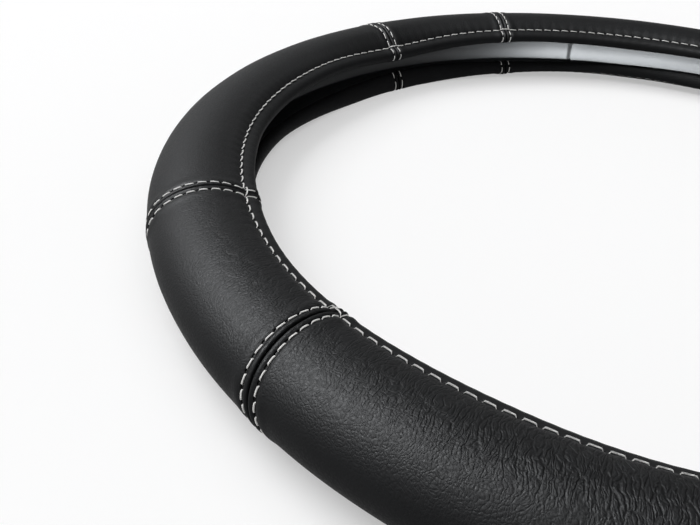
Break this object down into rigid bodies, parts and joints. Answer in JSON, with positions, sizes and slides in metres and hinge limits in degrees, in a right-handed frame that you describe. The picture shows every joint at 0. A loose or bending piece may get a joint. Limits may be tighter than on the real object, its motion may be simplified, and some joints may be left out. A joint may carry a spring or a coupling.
{
  "type": "steering wheel cover",
  "caption": "Soft padded ring cover for a steering wheel: sewn leather-look panels with white stitching over a C-section rubber liner, open towards the hole.",
  "frame": {"origin": "the ring's axis at the surface that the cover lies on", "axes": "+Z along the ring's axis, up from the surface; +Y towards the top of the wheel"},
  "size_m": [0.3788, 0.3788, 0.0296],
  "materials": {
    "leather": "satin, fine pebbled grain",
    "liner": "smooth, glossy",
    "thread": "matt twisted thread"
  },
  "bodies": {
    "root": {"panel_long_right": "leather", "panel_short_upper_right": "leather", "panel_long_top": "leather", "panel_short_upper_left": "leather", "panel_long_left": "leather", "panel_short_lower_left": "leather", "panel_long_bottom": "leather", "panel_short_lower_right": "leather", "rubber_liner": "liner", "seam_1_thread_short_side": "thread", "seam_1_thread_long_side": "thread", "seam_2_thread_short_side": "thread", "seam_2_thread_long_side": "thread", "seam_3_thread_short_side": "thread", "seam_3_thread_long_side": "thread", "seam_4_thread_short_side": "thread", "seam_4_thread_long_side": "thread", "seam_5_thread_short_side": "thread", "seam_5_thread_long_side": "thread", "seam_6_thread_short_side": "thread", "seam_6_thread_long_side": "thread", "seam_7_thread_short_side": "thread", "seam_7_thread_long_side": "thread", "seam_8_thread_short_side": "thread", "seam_8_thread_long_side": "thread", "upper_lip_thread": "thread", "lower_lip_thread": "thread"}
  },
  "joints": []
}
